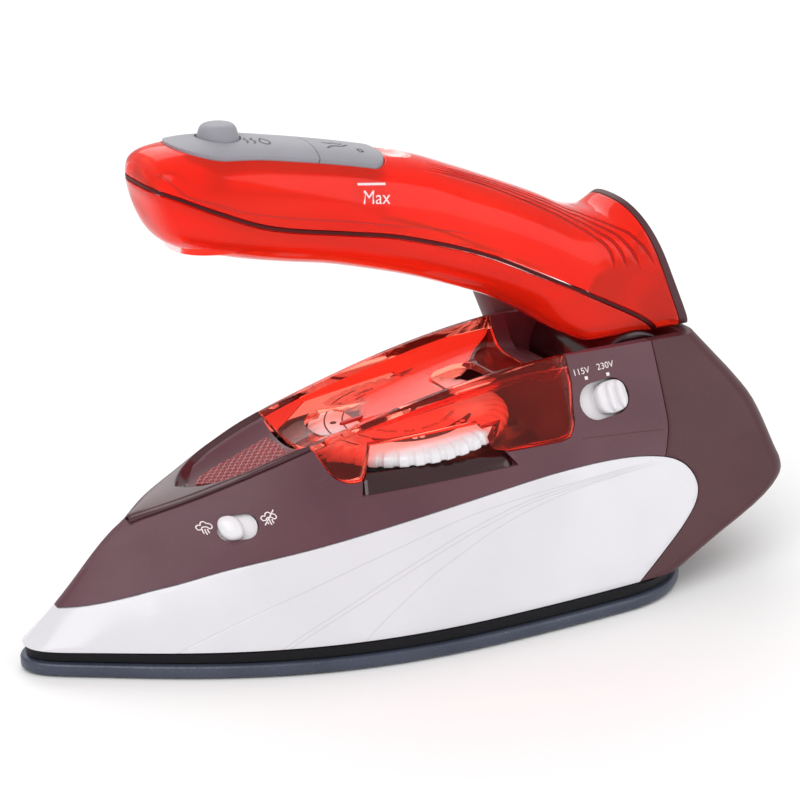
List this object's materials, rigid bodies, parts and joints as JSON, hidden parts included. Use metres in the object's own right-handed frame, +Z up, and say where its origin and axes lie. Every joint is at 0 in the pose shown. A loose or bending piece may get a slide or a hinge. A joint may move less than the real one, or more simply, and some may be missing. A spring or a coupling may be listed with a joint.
{
  "type": "clothes iron",
  "caption": "Small travel steam iron with a folding water-tank handle, temperature dial under a clear cover, steam and voltage sliders and a pointed soleplate.",
  "frame": {"origin": "on the soleplate's working face, on the centre line, halfway between the sole's tip and its rear edge", "axes": "+X towards the heel, -X towards the pointed nose, +Y to the side without sliders, +Z up from the soleplate"},
  "size_m": [0.2042, 0.0898, 0.1289],
  "materials": {
    "sole_coating": "dark blue-grey non-stick coating on cast aluminium",
    "black_shield": "black heat-resistant phenolic, fine grain",
    "steel": "zinc-plated steel",
    "aluminium": "rolled aluminium sheet",
    "ceramic": "unglazed ceramic",
    "natural_plastic": "natural silicone and nylon",
    "brass": "turned brass",
    "white_gloss": "glossy white moulded plastic",
    "aubergine_satin": "satin aubergine-brown moulded plastic, fine spark-eroded grain",
    "dark_gloss": "dark brown high-gloss plastic",
    "lens_red": "clear plastic with a diamond texture over a red lamp",
    "clear_red": "transparent red moulded plastic",
    "soft_grey": "soft-touch grey rubber",
    "gland_grey": "grey-brown rubber",
    "seal_dark": "dark red silicone gasket"
  },
  "bodies": {
    "base": {"soleplate": "sole_coating", "heating_element": "steel", "heat_shield": "black_shield", "steam_chamber_cover": "aluminium", "sole_screw_front": "steel", "sole_screw_left": "steel", "sole_screw_right": "steel", "thermostat": "ceramic", "thermal_fuse": "ceramic", "terminal_block": "natural_plastic", "element_lead_left": "natural_plastic", "element_lead_right": "natural_plastic", "steam_valve_seat": "brass", "white_skirt": "white_gloss", "main_housing": "aubergine_satin", "rear_cover": "aubergine_satin", "rear_cover_screw_left": "steel", "rear_cover_screw_right": "steel", "nose_deck": "dark_gloss", "lamp_lens": "lens_red", "indicator_lamp": "lens_red", "dial_cover": "clear_red", "voltage_switch": "black_shield", "cord_gland": "gland_grey", "base_feed_tube": "natural_plastic", "hinge_pin": "steel", "fold_spring": "steel"},
    "dial": {"temperature_dial": "white_gloss", "dial_shaft": "brass"},
    "steam_control": {"steam_slider": "white_gloss"},
    "steam_valve": {"steam_valve_rod": "brass"},
    "voltage_control": {"voltage_slider": "white_gloss"},
    "handle": {"handle_tank": "clear_red", "handle_lower_shell": "clear_red", "tank_seal": "seal_dark", "tank_floor": "clear_red", "handle_rear_cover": "dark_gloss", "handle_screw_left": "steel", "handle_screw_right": "steel", "button_pad": "soft_grey", "button_spring": "steel", "spray_pump": "natural_plastic", "hinge_drum": "dark_gloss", "hinge_washer_left": "steel", "hinge_washer_right": "steel", "handle_feed_tube": "natural_plastic"},
    "button": {"steam_button": "soft_grey"},
    "flap": {"filler_flap": "soft_grey"}
  },
  "joints": [
    {"name": "handle_fold", "type": "hinge", "parent": "base", "child": "handle", "pos_m": [0.075, 0, 0.052], "axis": [0, -1, 0], "range_deg": [0, 25]},
    {"name": "dial_turn", "type": "hinge", "parent": "base", "child": "dial", "pos_m": [0.0168, 0, 0.0469], "axis": [-0.1149, 0, 0.9934], "range_deg": [0, 270]},
    {"name": "steam_slide", "type": "slide", "parent": "base", "child": "steam_control", "axis": [0.9048, -0.4139, 0.1005], "range_m": [0, 0.0038]},
    {"name": "steam_valve_drop", "type": "slide", "parent": "base", "child": "steam_valve", "axis": [0, 0, -1], "range_m": [0, 0.0012]},
    {"name": "voltage_slide", "type": "slide", "parent": "base", "child": "voltage_control", "axis": [-0.9956, -0.0239, -0.0901], "range_m": [0, 0.005]},
    {"name": "steam_button_press", "type": "slide", "parent": "handle", "child": "button", "axis": [0, 0, -1], "range_m": [0, 0.0025], "stiffness_N_per_m": 600},
    {"name": "filler_flap_open", "type": "hinge", "parent": "handle", "child": "flap", "pos_m": [-0.0117, 0, 0.1221], "axis": [0, -1, 0], "range_deg": [0, 90]}
  ],
  "couplings": [
    {"joint": "steam_valve_drop", "follows": "steam_slide", "ratio": 0.3}
  ]
}
